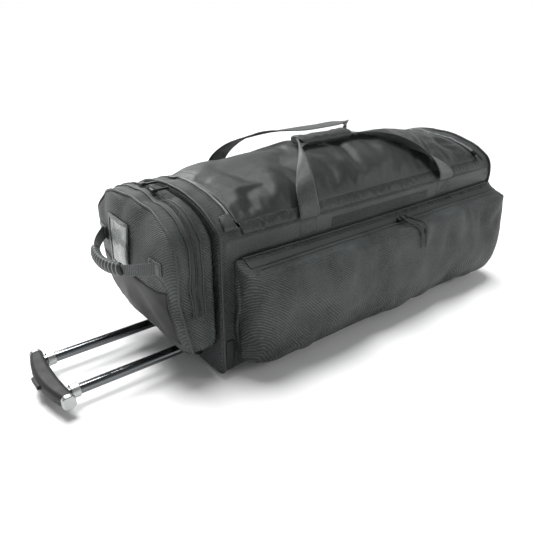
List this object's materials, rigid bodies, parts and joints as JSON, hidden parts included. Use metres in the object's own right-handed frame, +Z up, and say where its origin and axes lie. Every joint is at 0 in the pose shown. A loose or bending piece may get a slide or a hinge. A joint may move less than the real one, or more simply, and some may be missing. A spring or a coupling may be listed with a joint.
{
  "type": "rolling duffel bag",
  "caption": "Long soft duffel bag on wheels with a telescoping tube handle, zipped arched lid, side and end pockets, webbing carry handles and an ID window.",
  "frame": {"origin": "on the ground, on the centre skid rail's underside below the middle of the main compartment", "axes": "+Z up, +X along the bag from the pull handle to the wheels, -Y towards the long side with the pocket"},
  "size_m": [1.1218, 0.4062, 0.4084],
  "materials": {
    "ballistic_fabric": "woven",
    "lid_fabric": "woven",
    "webbing": "woven webbing",
    "hook_and_loop": "looped pile",
    "piping": "bound tape",
    "zipper_tape": "tape and nylon coil",
    "coated_fabric": "smooth coated",
    "card": "paper",
    "clear_film": "clear film",
    "board": "sheet",
    "tube_metal": "polished",
    "outer_tube_metal": "satin",
    "collar_metal": "satin",
    "moulded_plastic": "moulded",
    "grip_rubber": "moulded ribs",
    "steel": "plain",
    "tyre": "moulded",
    "slider_metal": "enamelled",
    "cord_pull": "cord and moulded tip"
  },
  "bodies": {
    "bag": {"main_shell": "ballistic_fabric", "floor_board": "board", "false_floor": "board", "outer_tubes": "outer_tube_metal", "tube_end_block": "moulded_plastic", "tube_bezel": "moulded_plastic", "skid_rails": "moulded_plastic", "wheel_housings": "moulded_plastic", "axles": "steel", "kick_plate": "moulded_plastic", "kick_plate_rivets": "steel", "corner_guards": "coated_fabric", "handle_end_welt": "piping", "wheel_end_welt": "piping", "lid_zipper": "zipper_tape", "zipper_tab": "webbing", "side_pocket": "ballistic_fabric", "side_pocket_zipper": "zipper_tape", "near_side_band": "webbing", "far_side_band": "webbing", "hook_strip": "hook_and_loop", "handle_anchors": "webbing", "end_pocket": "ballistic_fabric", "end_pocket_zipper": "zipper_tape", "end_pocket_welt": "piping", "id_binding": "coated_fabric", "id_card": "card", "id_window": "clear_film", "end_handle_anchors": "webbing"},
    "pull_handle": {"inner_tubes": "tube_metal", "tube_collars": "collar_metal", "latch_plugs": "moulded_plastic", "grip_upper": "moulded_plastic", "grip_lower": "moulded_plastic", "grip_screws": "steel", "grip_end_caps": "collar_metal", "button_spring": "steel"},
    "release_button": {"release_button": "moulded_plastic", "latch_rods": "steel"},
    "wheel_near": {"tyre_near": "tyre", "hub_near": "moulded_plastic", "bearings_near": "steel"},
    "wheel_far": {"tyre_far": "tyre", "hub_far": "moulded_plastic", "bearings_far": "steel"},
    "lid": {"lid_panel": "lid_fabric"},
    "near_handle": {"near_handle_strap": "webbing", "handle_wrap": "lid_fabric"},
    "far_handle": {"far_handle_strap": "webbing"},
    "end_handle": {"end_handle_straps": "webbing", "end_handle_grip": "grip_rubber"},
    "side_slider_left": {"side_slider_left": "slider_metal"},
    "side_pull_left": {"side_pull_left": "cord_pull"},
    "side_slider_right": {"side_slider_right": "slider_metal"},
    "side_pull_right": {"side_pull_right": "cord_pull"},
    "end_slider_near": {"end_slider_near": "slider_metal"},
    "end_slider_far": {"end_slider_far": "slider_metal"},
    "lid_slider": {"lid_slider": "slider_metal"},
    "lid_pull": {"lid_pull": "cord_pull"}
  },
  "joints": [
    {"name": "pull_handle_slide", "type": "slide", "parent": "bag", "child": "pull_handle", "axis": [-1, 0, 0], "range_m": [-0.225, 0.29]},
    {"name": "release_button_press", "type": "slide", "parent": "pull_handle", "child": "release_button", "axis": [1, 0, 0], "range_m": [0, 0.004], "stiffness_N_per_m": 600, "springref_m": -0.004},
    {"name": "wheel_near_spin", "type": "hinge", "parent": "bag", "child": "wheel_near", "pos_m": [0.366, -0.126, 0.035], "axis": [0, 1, 0], "continuous": true},
    {"name": "wheel_far_spin", "type": "hinge", "parent": "bag", "child": "wheel_far", "pos_m": [0.366, 0.126, 0.035], "axis": [0, 1, 0], "continuous": true},
    {"name": "lid_hinge", "type": "hinge", "parent": "bag", "child": "lid", "pos_m": [0, -0.149, 0.30073], "axis": [1, 0, 0], "range_deg": [0, 60]},
    {"name": "near_handle_hinge", "type": "hinge", "parent": "bag", "child": "near_handle", "pos_m": [0, -0.1654, 0.286], "axis": [1, 0, 0], "range_deg": [0, 108.5]},
    {"name": "far_handle_hinge", "type": "hinge", "parent": "bag", "child": "far_handle", "pos_m": [0, 0.1654, 0.286], "axis": [1, 0, 0], "range_deg": [-108.5, 0]},
    {"name": "end_handle_hinge", "type": "hinge", "parent": "bag", "child": "end_handle", "pos_m": [-0.4963, 0, 0.245], "axis": [0, 1, 0], "range_deg": [-11, 39]},
    {"name": "side_slider_left_slide", "type": "slide", "parent": "bag", "child": "side_slider_left", "axis": [1, 0, 0], "range_m": [-0.33, 0]},
    {"name": "side_slider_right_slide", "type": "slide", "parent": "bag", "child": "side_slider_right", "axis": [1, 0, 0], "range_m": [0, 0.3]},
    {"name": "side_pull_left_hinge", "type": "hinge", "parent": "side_slider_left", "child": "side_pull_left", "pos_m": [0.03, -0.1918, 0.23684], "axis": [-0.848, -0.5299, 0], "range_deg": [0, 100]},
    {"name": "side_pull_right_hinge", "type": "hinge", "parent": "side_slider_right", "child": "side_pull_right", "pos_m": [0.046, -0.1918, 0.23684], "axis": [-0.848, -0.5299, 0], "range_deg": [0, 100]},
    {"name": "end_slider_near_travel", "type": "hinge", "parent": "bag", "child": "end_slider_near", "pos_m": [-0.452, 0, -0.02212], "axis": [1, 0, 0], "range_deg": [0, 12]},
    {"name": "end_slider_far_travel", "type": "hinge", "parent": "bag", "child": "end_slider_far", "pos_m": [-0.452, 0, -0.02212], "axis": [1, 0, 0], "range_deg": [-12, 0]},
    {"name": "lid_slider_travel", "type": "hinge", "parent": "lid", "child": "lid_slider", "pos_m": [0.3575, -0.05973, 0.19319], "axis": [1, 0, 0], "range_deg": [-14, 0]},
    {"name": "lid_pull_hinge", "type": "hinge", "parent": "lid_slider", "child": "lid_pull", "pos_m": [0.3575, -0.1461, 0.323], "axis": [1, 0, 0], "range_deg": [-110, 0]}
  ],
  "couplings": [
    {"joint": "near_handle_hinge", "follows": "lid_hinge", "ratio": 1.8},
    {"joint": "far_handle_hinge", "follows": "lid_hinge", "ratio": -1.8}
  ]
}
